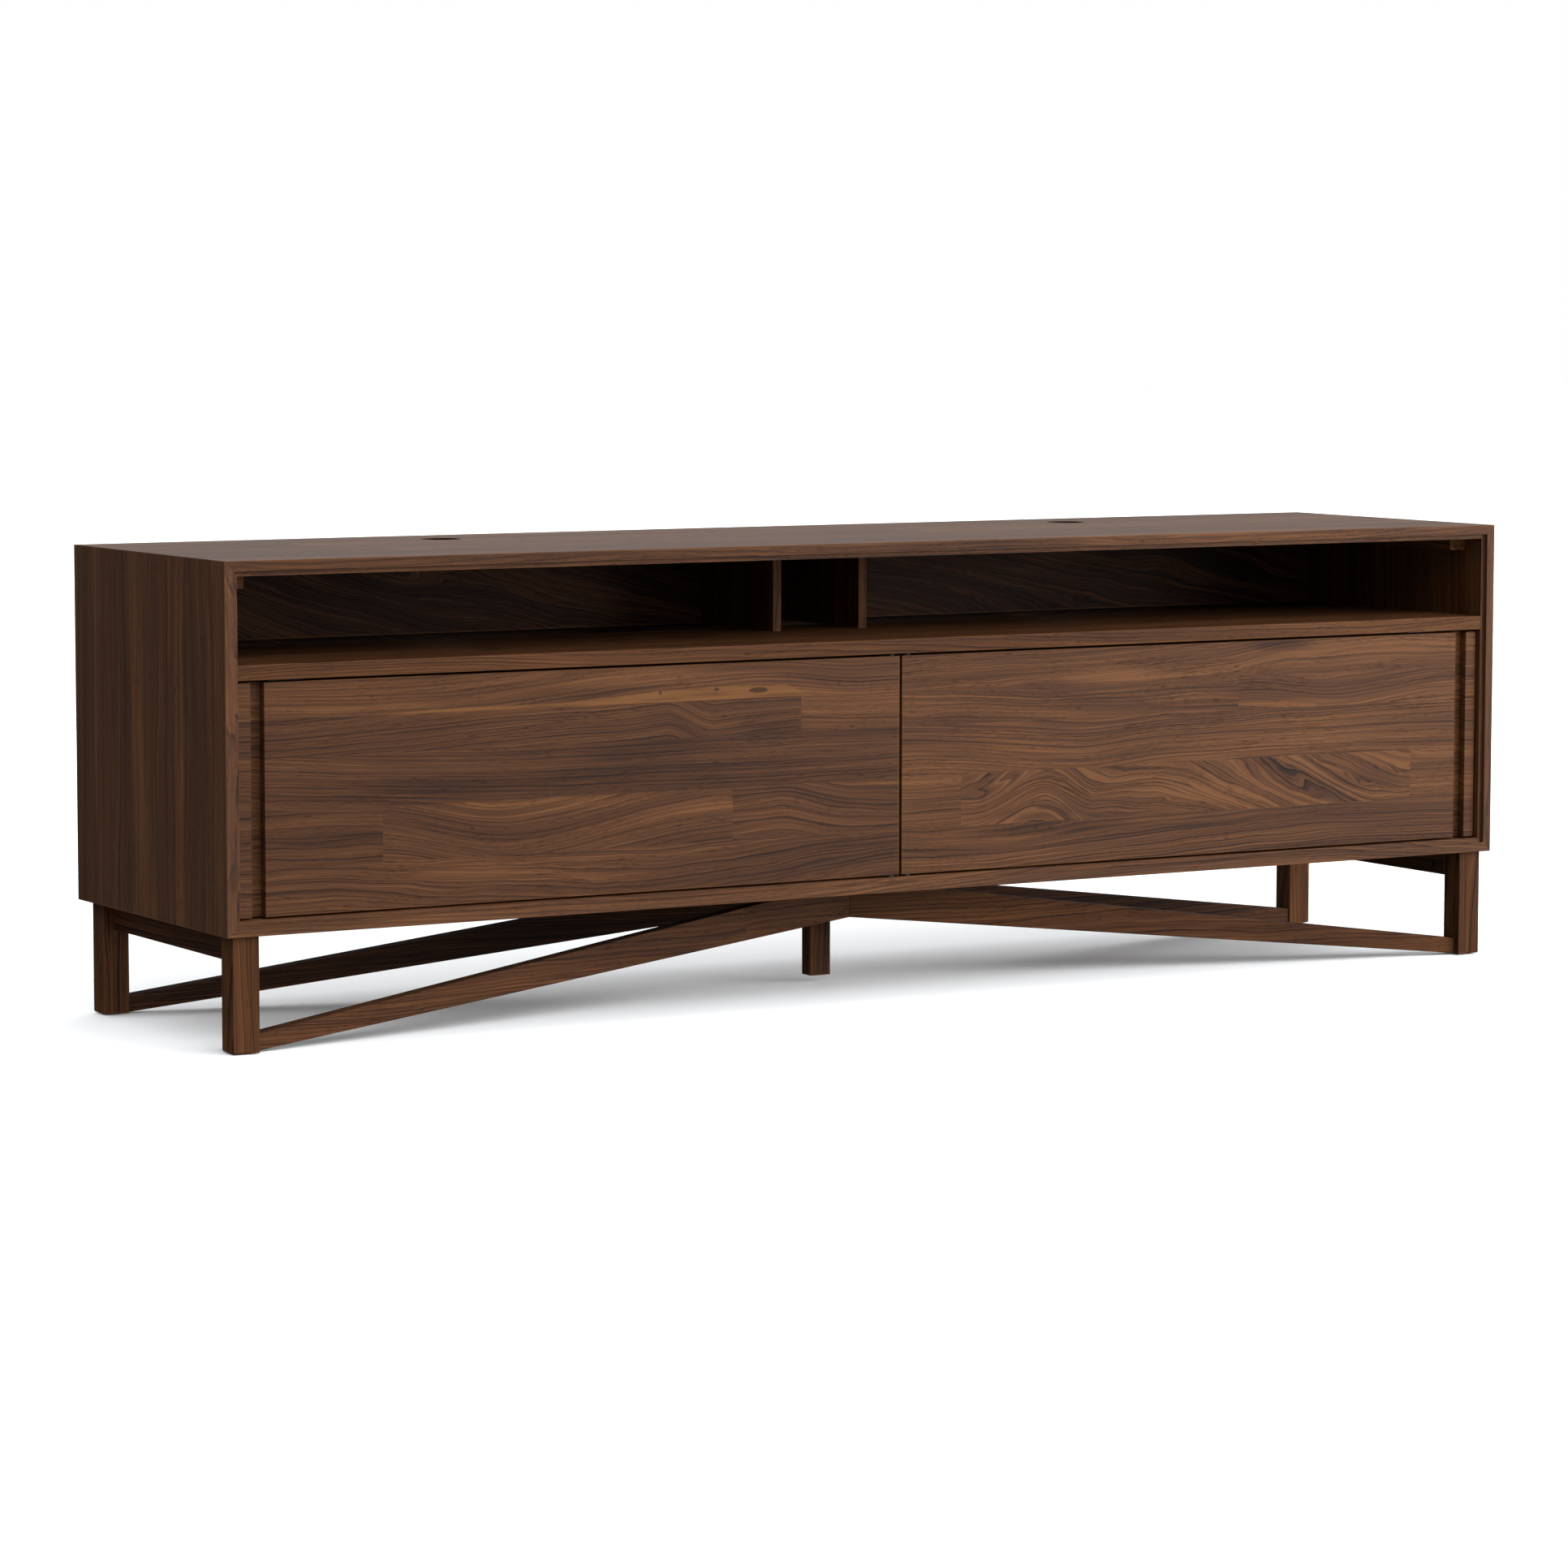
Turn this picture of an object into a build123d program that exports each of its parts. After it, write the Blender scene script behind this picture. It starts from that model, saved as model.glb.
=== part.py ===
"""Media cabinet: a mitred walnut case with an open shelf bay above two doors, on a trestle base.

Millimetres. +Z is up, the front faces -Y, and the origin is on the floor under the middle of the
case. Every piece of wood and hardware is its own solid, in its own file.
"""
from build123d import *
import os
from math import atan2, cos, tan

os.makedirs("parts", exist_ok=True)

# ---------------------------------------------------------------- driving dimensions: the case
CASE_W = 1830.0            # outside width
CASE_D = 440.0             # outside depth
CASE_H = 433.0             # outside height of the case alone
CASE_Z = 138.0             # floor to the underside of the case
PANEL = 18.0               # thickness of every case panel
LIP = 12.0                 # width of the outer strip round the front opening
LIP_SETBACK = 5.0          # the inner step of the front edge stands this far behind the strip
ARRIS = 1.0                # softened edge on show wood
HOUSING = 6.0              # depth of the grooves that hold shelf and inner back
OVERCUT = 1.0              # how far a cutting shape runs past the face that it opens

SHELF_TOP = CASE_Z + 313.0         # top face of the fixed shelf
SHELF_REAR = 73.0                  # rear edge of the fixed shelf; the cable slot is behind it
SHELF_STOP = 10.0                  # the shelf housing stops this far behind the shelf's front

INNER_BACK_Y = 168.0       # front face of the back panel in the open bay
INNER_BACK_T = 12.0
OUTER_BACK_Y = 210.0       # front face of the thin rear panel
OUTER_BACK_T = 6.0
REAR_REBATE = 9.0          # width of the rear rebate that holds the thin panel
BACK_HOLE_R = 30.0         # cable holes in the rear panel
BACK_HOLE_X = 450.0
BACK_HOLE_Z = CASE_Z + 90.0

CABLE_HOLE_R = 25.0        # cable holes in the top
CABLE_HOLE_X = 465.0
CABLE_HOLE_Y = 126.0

DIVIDER_T = 12.0           # the two uprights in the open bay
DIVIDER_X = 63.0           # middle of each upright
DIVIDER_FRONT = -14.0

CLEAT_W = 24.0             # battens under the top, along each side
CLEAT_H = 16.0
CLEAT_FRONT = -180.0

PARTITION_SETBACK = 4.0    # the middle partition stays this far behind the doors

LOOSE_SHELF_Z = CASE_Z + 150.0     # underside of the adjustable shelves
LOOSE_SHELF_T = 16.0
LOOSE_SHELF_Y = (-174.0, 60.0)
LOOSE_SHELF_GAP = 1.5
PIN_R = 2.5                # shelf pins
PIN_IN = 9.0
PIN_OUT = 8.0
PARTITION_PIN_IN = 8.0     # shallower, so that pins from both sides don't meet
PIN_Y = (-140.0, 30.0)
PIN_ROW = (-64.0, -32.0, 0.0, 32.0)

# ---------------------------------------------------------------- driving dimensions: the doors
DOOR_T = 22.0
DOOR_FRONT = -CASE_D / 2 + 11.5    # plane of the door faces
DOOR_GAP_SIDE = 2.5
DOOR_GAP_MIDDLE = 3.5              # between the two doors
DOOR_GAP_BOTTOM = 2.0
DOOR_GAP_TOP = 3.0
PULL_STRIP = 16.0          # wood outside the finger groove
PULL_W = 17.0
PULL_DEEP = 12.0
DOOR_ARRIS = 0.8           # softened edge round the door's face and its finger groove

PIVOT_IN = 10.0            # pivot axis from the door's inner edge
PIVOT_BACK = 5.0           # pivot axis behind the door face
PIVOT_PIN_R = 2.0
PIVOT_PLAY = 0.05
PIVOT_REACH = 6.0          # pin length inside the door beyond its leaf
PIVOT_ROOM = 1.0           # air round the pin in the door's wood
PIVOT_END_ROOM = 2.0       # air past the pin's end
LEAF_T = 2.0
LEAF_L = 50.0
LEAF_W = 10.0
LEAF_EDGE = 1.0            # leaf from the door's inner edge and from its face
WASHER_R = 4.0
WASHER_PLAY = 0.1
SCREW_R = 1.5
SCREW_HEAD_R = 3.0
SCREW_LONG = 14.0
LEAF_SCREWS = (24.0, 41.0)         # along the leaf from its inner end
COUNTERSINK = 45.0         # half angle of the screw heads
CROSS_L = 3.4              # cross recess in the screw heads
CROSS_T = 0.8
CROSS_DEEP = 1.0

CATCH_X = 823.0            # middle of each magnetic catch
CATCH_W = 46.0
CATCH_H = 12.0
CATCH_L = 34.0
CATCH_ROUND = 2.0
CATCH_SCREW_X = 15.0       # screws, from the middle of the catch
CATCH_SCREW_BACK = 8.0     # and from its rear end
CATCH_SCREW_IN = 10.0      # their length in the shelf
CATCH_SCREW_HEAD_H = 1.8
CATCH_SCREW_DOME = 0.9
MAGNET_W = 30.0
MAGNET_H = 5.0
MAGNET_L = 20.0
STRIKE_W = 36.0
STRIKE_H = 12.0
STRIKE_T = 1.5
STRIKE_DROP = 1.0          # below the door's upper edge
STRIKE_SCREW_X = 12.0
CATCH_AIR = 0.2

# ---------------------------------------------------------------- driving dimensions: the base
BASE_MID_Y = -5.5          # middle of the base, a little forward of the middle of the case
BASE_D = 411.0             # outside of the front legs to the outside of the rear legs
LEG_OUT_X = CASE_W / 2 - 10.4      # outer face of the legs
LEG_X = 33.5
LEG_Y = 33.0
LEG_ARRIS = 1.6
SEAM_SHOW = 20.9           # glue line of the two-part leg, from the outer face, on the outside
SEAM_HIDE = 9.2            # and on the face towards the middle of the base
SEAM_ARRIS = 0.35
GLIDE_H = 1.5
GLIDE_R = 12.0

RAIL_H = 33.5              # side rails between the legs
RAIL_T = 19.5

BRACE_T = 19.5             # sloping stretchers from the leg feet to the middle of the case
BRACE_LEG_INSET = 10.7     # their outer face from the outer face of the leg
BRACE_APEX_INSET = 123.3   # the same at the middle of the cabinet
BRACE_LOW = (2.0, 92.0)    # lower edge at the leg and at the middle
BRACE_HIGH = (22.0, CASE_Z)        # upper edge at the leg and at the middle

CROSS_W = 30.0             # block between the two braces, under the middle of the case
CENTRE_LEG_X = 30.0
CENTRE_LEG_Y = 22.0
CENTRE_LEG_Z = 10.0        # it stays clear of the floor

BOLT_R = 3.0               # bolts through the case floor into barrel nuts in the side rails
BOLT_CLEAR = 0.25
BOLT_HEAD_R = 6.0
BOLT_HEAD_H = 4.0
BOLT_SOCKET_R = 2.9         # corners of the six-sided socket
BOLT_SOCKET_DEEP = 2.5
NUT_R = 5.0
NUT_L = 14.0
NUT_SUNK = 2.0             # below the inner face of the rail
NUT_END_ROOM = 1.0
NUT_SLOT_T = 1.2           # slot that turns the nut's thread towards the bolt
NUT_SLOT_DEEP = 1.5
NUT_Z = CASE_Z - 20.0
BOLT_Y = (-155.0, 144.0)

BACK_SCREW_R = 1.75
BACK_SCREW_HEAD_R = 3.5
BACK_SCREW_HEAD_H = 2.2
BACK_SCREW_DOME = 1.2
BACK_SCREW_LONG = 22.0
BACK_SCREW_X = (-640.0, -240.0, 240.0, 640.0)
BACK_SCREW_Z = (CASE_Z + 80.0, CASE_Z + 216.5, CASE_Z + 353.0)

# ---------------------------------------------------------------- levels and planes worked out
HALF_W = CASE_W / 2
FRONT = -CASE_D / 2
REAR = CASE_D / 2
TOP = CASE_Z + CASE_H
FLOOR_IN = CASE_Z + PANEL          # top face of the case floor
CEIL_IN = TOP - PANEL              # underside of the top
WALL_IN = HALF_W - PANEL           # inner face of the side panels
SHELF_LOW = SHELF_TOP - PANEL
STEP_Y = FRONT + LIP_SETBACK

DOOR_BACK = DOOR_FRONT + DOOR_T
DOOR_LOW = FLOOR_IN + DOOR_GAP_BOTTOM
DOOR_HIGH = SHELF_LOW - DOOR_GAP_TOP
DOOR_IN = DOOR_GAP_MIDDLE / 2      # inner edge of each door
DOOR_OUT = WALL_IN - DOOR_GAP_SIDE
PIVOT_X = DOOR_IN + PIVOT_IN
PIVOT_Y = DOOR_FRONT + PIVOT_BACK
LEAF_X = DOOR_IN + LEAF_EDGE
LEAF_Y = DOOR_FRONT + LEAF_EDGE
PARTITION_FRONT = DOOR_BACK + PARTITION_SETBACK

STRIKE_Z = DOOR_HIGH - STRIKE_DROP - STRIKE_H / 2
CATCH_FRONT = DOOR_BACK + STRIKE_T + CATCH_AIR
CATCH_REAR = DOOR_BACK + STRIKE_T + CATCH_L
MAGNET_Z = SHELF_LOW - CATCH_H / 2

BASE_FRONT = BASE_MID_Y - BASE_D / 2
LEG_IN_X = LEG_OUT_X - LEG_X
LEG_BACK = BASE_FRONT + LEG_Y      # inner face of the front legs
BOLT_X = LEG_IN_X + RAIL_T / 2
BRACE_TURN = atan2(BRACE_APEX_INSET - BRACE_LEG_INSET, LEG_IN_X)
BRACE_DEEP = BRACE_T / cos(BRACE_TURN)     # thickness of a brace measured along Y

SIDES = {"left": -1, "right": 1}
ENDS = {"front": 1, "rear": -1}
CLOSE = 0.01               # two places nearer than this are the same


# ---------------------------------------------------------------- small building blocks
def block(x, y, z, mode=Mode.ADD):
    """A box between two values on each axis, given in either order."""
    with BuildSketch(Plane.XY.offset(min(z))) as outline:
        with Locations(((x[0] + x[1]) / 2, (y[0] + y[1]) / 2)):
            Rectangle(abs(x[1] - x[0]), abs(y[1] - y[0]))
    extrude(outline.sketch, amount=abs(z[1] - z[0]), mode=mode)


def prism_xy(points, z, mode=Mode.ADD):
    """A plan outline standing between two heights."""
    with BuildSketch(Plane.XY.offset(z[0])) as outline:
        with BuildLine():
            Polyline(*points, close=True)
        make_face()
    extrude(outline.sketch, amount=z[1] - z[0], mode=mode)


def prism_xz(points, y, mode=Mode.ADD):
    """A front outline running back from y[0] to y[1]."""
    with BuildSketch(Plane.XZ.offset(-y[0])) as outline:
        with BuildLine():
            Polyline(*points, close=True)
        make_face()
    extrude(outline.sketch, amount=y[0] - y[1], mode=mode)


def rod(start, direction, radius, length, mode=Mode.ADD):
    """A round bar, or a drilled hole, from a point along a direction."""
    with BuildSketch(Plane(origin=start, z_dir=direction)) as outline:
        Circle(radius)
    extrude(outline.sketch, amount=length, mode=mode)


def cross_recess(start, direction):
    """The cross-shaped recess in a screw head, cut from its outer face along the screw."""
    with BuildSketch(Plane(origin=start, z_dir=direction)) as cross:
        Rectangle(CROSS_L, CROSS_T)
        Rectangle(CROSS_T, CROSS_L)
    extrude(cross.sketch, amount=CROSS_DEEP, mode=Mode.SUBTRACT)


def wood_screw(start, direction, mode=Mode.ADD):
    """A countersunk screw whose flat head is level with its starting point, or its hole."""
    head = SCREW_HEAD_R - SCREW_R
    with BuildSketch(Plane(origin=start, z_dir=direction)) as rim:
        Circle(SCREW_HEAD_R)
    extrude(rim.sketch, amount=head, taper=COUNTERSINK, mode=mode)
    rod(start, direction, SCREW_R, SCREW_LONG, mode)
    if mode == Mode.ADD:
        cross_recess(start, direction)


def back_screw(x, z, mode=Mode.ADD):
    """A round-headed screw driven forward into the case from the rear panel."""
    face = OUTER_BACK_Y + OUTER_BACK_T
    rod((x, face, z), (0, -1, 0), BACK_SCREW_R, BACK_SCREW_LONG, mode)
    if mode == Mode.ADD:
        rod((x, face, z), (0, 1, 0), BACK_SCREW_HEAD_R, BACK_SCREW_HEAD_H)


def save(piece, label):
    """Names a finished piece and writes it."""
    piece.label = label
    export_step(piece, f"parts/{label}.step")


def front_and_rear_rebates():
    """The stepped front edge and the rear rebate, which run round the mitres of all four panels."""
    inset = HALF_W - LIP
    block((-inset, inset), (FRONT - OVERCUT, STEP_Y), (CASE_Z + LIP, TOP - LIP), Mode.SUBTRACT)
    inset = HALF_W - REAR_REBATE
    low = CASE_Z + REAR_REBATE
    block((-inset, inset), (OUTER_BACK_Y, REAR + OVERCUT), (low, TOP - REAR_REBATE),
          Mode.SUBTRACT)


def back_screw_places():
    """Where the rear panel is screwed: along the case floor and top, both sides and the middle."""
    ledge = (PANEL - REAR_REBATE) / 2
    rows = [(x, FLOOR_IN - ledge) for x in BACK_SCREW_X]
    rows += [(x, CEIL_IN + ledge) for x in BACK_SCREW_X]
    rows += [(side * (WALL_IN + ledge), z) for side in SIDES.values() for z in BACK_SCREW_Z]
    rows += [(0.0, z) for z in BACK_SCREW_Z[:2]]
    return rows


def drill_back_screws():
    for x, z in back_screw_places():
        back_screw(x, z, Mode.SUBTRACT)


def leaf_screw_places(side):
    """Plan positions of the two screws of a hinge leaf."""
    return [(side * (LEAF_X + along), LEAF_Y + LEAF_W / 2) for along in LEAF_SCREWS]


def leaf_plate(side, z, mode=Mode.ADD):
    """The flat plate of a knife hinge between two heights, or the mortise that holds it."""
    block((side * LEAF_X, side * (LEAF_X + LEAF_L)), (LEAF_Y, LEAF_Y + LEAF_W), z, mode)


def front_edges(part, y):
    """Edges that lie in the plane at y."""
    return part.edges().filter_by(lambda e: abs(e.bounding_box().min.Y - y) < CLOSE
                                  and abs(e.bounding_box().max.Y - y) < CLOSE)


def upright_edges(part, x):
    """Vertical edges whose distance from the middle of the cabinet is x."""
    return part.edges().filter_by(Axis.Z).filter_by(lambda e: abs(abs(e.center().X) - x) < CLOSE)


# ---------------------------------------------------------------- case panels, mitred at corners
with BuildPart() as top_panel:
    prism_xz([(-HALF_W, TOP), (HALF_W, TOP), (WALL_IN, CEIL_IN), (-WALL_IN, CEIL_IN)],
             (FRONT, REAR))
    long_edges = top_panel.edges().filter_by(Axis.X).group_by(Axis.Z)[-1]
    fillet(long_edges, ARRIS)
    front_and_rear_rebates()
    block((-WALL_IN - HOUSING, WALL_IN + HOUSING),
          (INNER_BACK_Y, INNER_BACK_Y + INNER_BACK_T), (CEIL_IN - OVERCUT, CEIL_IN + HOUSING),
          Mode.SUBTRACT)
    for side in SIDES.values():
        rod((side * CABLE_HOLE_X, CABLE_HOLE_Y, CEIL_IN - OVERCUT), (0, 0, 1),
            CABLE_HOLE_R, PANEL + 2 * OVERCUT, Mode.SUBTRACT)
    hole_rims = top_panel.edges().filter_by(GeomType.CIRCLE).group_by(Axis.Z)[-1]
    fillet(hole_rims, ARRIS)
    drill_back_screws()
save(top_panel.part, "top_panel")

with BuildPart() as bottom_panel:
    prism_xz([(-HALF_W, CASE_Z), (HALF_W, CASE_Z), (WALL_IN, FLOOR_IN), (-WALL_IN, FLOOR_IN)],
             (FRONT, REAR))
    fillet(bottom_panel.edges().filter_by(Axis.X).group_by(Axis.Z)[0], ARRIS)
    front_and_rear_rebates()
    for side in SIDES.values():
        leaf_plate(side, (FLOOR_IN - LEAF_T, FLOOR_IN + OVERCUT), Mode.SUBTRACT)
        for x, y in leaf_screw_places(side):
            wood_screw((x, y, FLOOR_IN), (0, 0, -1), Mode.SUBTRACT)
        for y in BOLT_Y:
            rod((side * BOLT_X, y, CASE_Z - OVERCUT), (0, 0, 1), BOLT_R + BOLT_CLEAR,
                PANEL + 2 * OVERCUT, Mode.SUBTRACT)
            rod((side * BOLT_X, y, FLOOR_IN - BOLT_HEAD_H), (0, 0, 1), BOLT_HEAD_R + BOLT_CLEAR,
                BOLT_HEAD_H + OVERCUT, Mode.SUBTRACT)
    drill_back_screws()
save(bottom_panel.part, "bottom_panel")


def pin_holes(side, face, inward, depth):
    """Rows of shelf-pin holes in the face of an upright; inward points into the wood."""
    for y in PIN_Y:
        for step in PIN_ROW:
            rod((side * face, y, LOOSE_SHELF_Z - PIN_R + step), (inward, 0, 0),
                PIN_R, depth, Mode.SUBTRACT)


for name, side in SIDES.items():
    with BuildPart() as side_panel:
        prism_xz([(side * HALF_W, CASE_Z), (side * HALF_W, TOP),
                  (side * WALL_IN, CEIL_IN), (side * WALL_IN, FLOOR_IN)], (FRONT, REAR))
        fillet(upright_edges(side_panel, HALF_W), ARRIS)
        front_and_rear_rebates()
        housing = (side * (WALL_IN - OVERCUT), side * (WALL_IN + HOUSING))
        block(housing, (STEP_Y + SHELF_STOP, SHELF_REAR), (SHELF_LOW, SHELF_TOP), Mode.SUBTRACT)
        block(housing, (INNER_BACK_Y, INNER_BACK_Y + INNER_BACK_T),
              (SHELF_TOP, CEIL_IN + HOUSING), Mode.SUBTRACT)
        pin_holes(side, WALL_IN, side, PIN_IN)
        drill_back_screws()
    save(side_panel.part, f"{name}_side_panel")

# ---------------------------------------------------------------- shelves, backs and uprights
with BuildPart() as fixed_shelf:
    block((-WALL_IN, WALL_IN), (STEP_Y, SHELF_REAR), (SHELF_LOW, SHELF_TOP))
    fillet(fixed_shelf.edges().filter_by(Axis.X).group_by(Axis.Y)[0], ARRIS)
    block((-WALL_IN - HOUSING, WALL_IN + HOUSING), (STEP_Y + SHELF_STOP, SHELF_REAR),
          (SHELF_LOW, SHELF_TOP))
    for side in SIDES.values():
        leaf_plate(side, (SHELF_LOW - OVERCUT, SHELF_LOW + LEAF_T), Mode.SUBTRACT)
        for x, y in leaf_screw_places(side):
            wood_screw((x, y, SHELF_LOW), (0, 0, 1), Mode.SUBTRACT)
        for x in (CATCH_X - CATCH_SCREW_X, CATCH_X + CATCH_SCREW_X):
            rod((side * x, CATCH_REAR - CATCH_SCREW_BACK, SHELF_LOW - OVERCUT), (0, 0, 1),
                SCREW_R, CATCH_SCREW_IN + OVERCUT, Mode.SUBTRACT)
save(fixed_shelf.part, "fixed_shelf")

with BuildPart() as inner_back_panel:
    block((-WALL_IN - HOUSING, WALL_IN + HOUSING),
          (INNER_BACK_Y, INNER_BACK_Y + INNER_BACK_T), (SHELF_TOP, CEIL_IN + HOUSING))
save(inner_back_panel.part, "inner_back_panel")

with BuildPart() as outer_back_panel:
    edge_x = HALF_W - REAR_REBATE
    block((-edge_x, edge_x), (OUTER_BACK_Y, OUTER_BACK_Y + OUTER_BACK_T),
          (CASE_Z + REAR_REBATE, TOP - REAR_REBATE))
    for side in SIDES.values():
        rod((side * BACK_HOLE_X, OUTER_BACK_Y - OVERCUT, BACK_HOLE_Z), (0, 1, 0),
            BACK_HOLE_R, OUTER_BACK_T + 2 * OVERCUT, Mode.SUBTRACT)
    drill_back_screws()
save(outer_back_panel.part, "outer_back_panel")

for name, side in SIDES.items():
    with BuildPart() as divider:
        block((side * (DIVIDER_X - DIVIDER_T / 2), side * (DIVIDER_X + DIVIDER_T / 2)),
              (DIVIDER_FRONT, INNER_BACK_Y), (SHELF_TOP, CEIL_IN))
        fillet(divider.edges().filter_by(Axis.Z).group_by(Axis.Y)[0], ARRIS)
    save(divider.part, f"bay_divider_{name}")

    with BuildPart() as cleat:
        block((side * (WALL_IN - CLEAT_W), side * WALL_IN), (CLEAT_FRONT, INNER_BACK_Y),
              (CEIL_IN - CLEAT_H, CEIL_IN))
        fillet(cleat.edges().filter_by(Axis.Y).group_by(Axis.Z)[0].sort_by(
            lambda e: abs(e.center().X))[0], ARRIS)
    save(cleat.part, f"top_cleat_{name}")

    with BuildPart() as loose_shelf:
        block((side * (PANEL / 2 + LOOSE_SHELF_GAP), side * (WALL_IN - LOOSE_SHELF_GAP)),
              LOOSE_SHELF_Y, (LOOSE_SHELF_Z, LOOSE_SHELF_Z + LOOSE_SHELF_T))
        fillet(loose_shelf.edges().filter_by(Axis.X).group_by(Axis.Y)[0], ARRIS)
    save(loose_shelf.part, f"adjustable_shelf_{name}")

with BuildPart() as centre_partition:
    block((-PANEL / 2, PANEL / 2), (PARTITION_FRONT, OUTER_BACK_Y), (FLOOR_IN, SHELF_LOW))
    for side in SIDES.values():
        pin_holes(side, PANEL / 2, -side, PARTITION_PIN_IN)
    drill_back_screws()
save(centre_partition.part, "centre_partition")

with BuildPart() as shelf_pins:
    for side in SIDES.values():
        for y in PIN_Y:
            z = LOOSE_SHELF_Z - PIN_R
            rod((side * (WALL_IN + PIN_IN), y, z), (-side, 0, 0), PIN_R, PIN_IN + PIN_OUT)
            rod((side * (PANEL / 2 - PARTITION_PIN_IN), y, z), (side, 0, 0), PIN_R,
                PARTITION_PIN_IN + PIN_OUT)
save(shelf_pins.part, "shelf_pins")

with BuildPart() as back_panel_screws:
    for x, z in back_screw_places():
        back_screw(x, z)
    head_rims = back_panel_screws.edges().filter_by(GeomType.CIRCLE).group_by(Axis.Y)[-1]
    fillet(head_rims, BACK_SCREW_DOME)
    for x, z in back_screw_places():
        head_face = OUTER_BACK_Y + OUTER_BACK_T + BACK_SCREW_HEAD_H
        cross_recess((x, head_face, z), (0, -1, 0))
save(back_panel_screws.part, "back_panel_screws")

# ---------------------------------------------------------------- doors and their knife hinges
for name, side in SIDES.items():
    groove_out = DOOR_OUT - PULL_STRIP
    with BuildPart() as door:
        block((side * DOOR_IN, side * DOOR_OUT), (DOOR_FRONT, DOOR_BACK), (DOOR_LOW, DOOR_HIGH))
        block((side * (groove_out - PULL_W), side * groove_out),
              (DOOR_FRONT - OVERCUT, DOOR_FRONT + PULL_DEEP),
              (DOOR_LOW - OVERCUT, DOOR_HIGH + OVERCUT), Mode.SUBTRACT)
        fillet(front_edges(door, DOOR_FRONT), DOOR_ARRIS)
        for z, up in ((DOOR_HIGH, -1), (DOOR_LOW, 1)):
            leaf_plate(side, (z - up * OVERCUT, z + up * LEAF_T), Mode.SUBTRACT)
            rod((side * PIVOT_X, PIVOT_Y, z), (0, 0, up), PIVOT_PIN_R + PIVOT_ROOM,
                LEAF_T + PIVOT_REACH + PIVOT_END_ROOM, Mode.SUBTRACT)
            for x, y in leaf_screw_places(side):
                wood_screw((x, y, z), (0, 0, up), Mode.SUBTRACT)
        for x in (CATCH_X - STRIKE_SCREW_X, CATCH_X + STRIKE_SCREW_X):
            wood_screw((side * x, DOOR_BACK + STRIKE_T, STRIKE_Z), (0, -1, 0), Mode.SUBTRACT)
    save(door.part, f"{name}_door_panel")

    for level, z, up in (("top", DOOR_HIGH, -1), ("bottom", DOOR_LOW, 1)):
        wood = SHELF_LOW if level == "top" else FLOOR_IN
        with BuildPart() as door_leaf:
            leaf_plate(side, (z, z + up * LEAF_T))
            rod((side * PIVOT_X, PIVOT_Y, z - up * OVERCUT), (0, 0, up), PIVOT_PIN_R + PIVOT_PLAY,
                LEAF_T + 2 * OVERCUT, Mode.SUBTRACT)
            for x, y in leaf_screw_places(side):
                wood_screw((x, y, z), (0, 0, up), Mode.SUBTRACT)
        save(door_leaf.part, f"{name}_door_{level}_hinge_leaf")

        with BuildPart() as case_leaf:
            leaf_plate(side, (wood, wood - up * LEAF_T))
            rod((side * PIVOT_X, PIVOT_Y, wood - up * LEAF_T), (0, 0, up), PIVOT_PIN_R,
                abs(z - wood) + 2 * LEAF_T + PIVOT_REACH)
            for x, y in leaf_screw_places(side):
                wood_screw((x, y, wood), (0, 0, -up), Mode.SUBTRACT)
        save(case_leaf.part, f"{name}_{level}_hinge_case_leaf")

    with BuildPart() as leaf_screws:
        for z, up in ((DOOR_HIGH, -1), (DOOR_LOW, 1)):
            for x, y in leaf_screw_places(side):
                wood_screw((x, y, z), (0, 0, up))
    save(leaf_screws.part, f"{name}_door_hinge_screws")

    with BuildPart() as strike:
        block((side * (CATCH_X - STRIKE_W / 2), side * (CATCH_X + STRIKE_W / 2)),
              (DOOR_BACK, DOOR_BACK + STRIKE_T), (STRIKE_Z - STRIKE_H / 2, STRIKE_Z + STRIKE_H / 2))
        for x in (CATCH_X - STRIKE_SCREW_X, CATCH_X + STRIKE_SCREW_X):
            wood_screw((side * x, DOOR_BACK + STRIKE_T, STRIKE_Z), (0, -1, 0), Mode.SUBTRACT)
    save(strike.part, f"{name}_door_strike_plate")

    with BuildPart() as strike_screws:
        for x in (CATCH_X - STRIKE_SCREW_X, CATCH_X + STRIKE_SCREW_X):
            wood_screw((side * x, DOOR_BACK + STRIKE_T, STRIKE_Z), (0, -1, 0))
    save(strike_screws.part, f"{name}_door_strike_screws")

with BuildPart() as hinge_washers:
    for side in SIDES.values():
        for z, up, gap in ((SHELF_LOW, -1, DOOR_GAP_TOP), (FLOOR_IN, 1, DOOR_GAP_BOTTOM)):
            rod((side * PIVOT_X, PIVOT_Y, z), (0, 0, up), WASHER_R, gap - WASHER_PLAY)
            rod((side * PIVOT_X, PIVOT_Y, z - up * OVERCUT), (0, 0, up), PIVOT_PIN_R,
                gap + 2 * OVERCUT, Mode.SUBTRACT)
save(hinge_washers.part, "hinge_washers")

with BuildPart() as case_hinge_screws:
    for side in SIDES.values():
        for x, y in leaf_screw_places(side):
            wood_screw((x, y, SHELF_LOW), (0, 0, 1))
            wood_screw((x, y, FLOOR_IN), (0, 0, -1))
save(case_hinge_screws.part, "case_hinge_screws")

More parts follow.
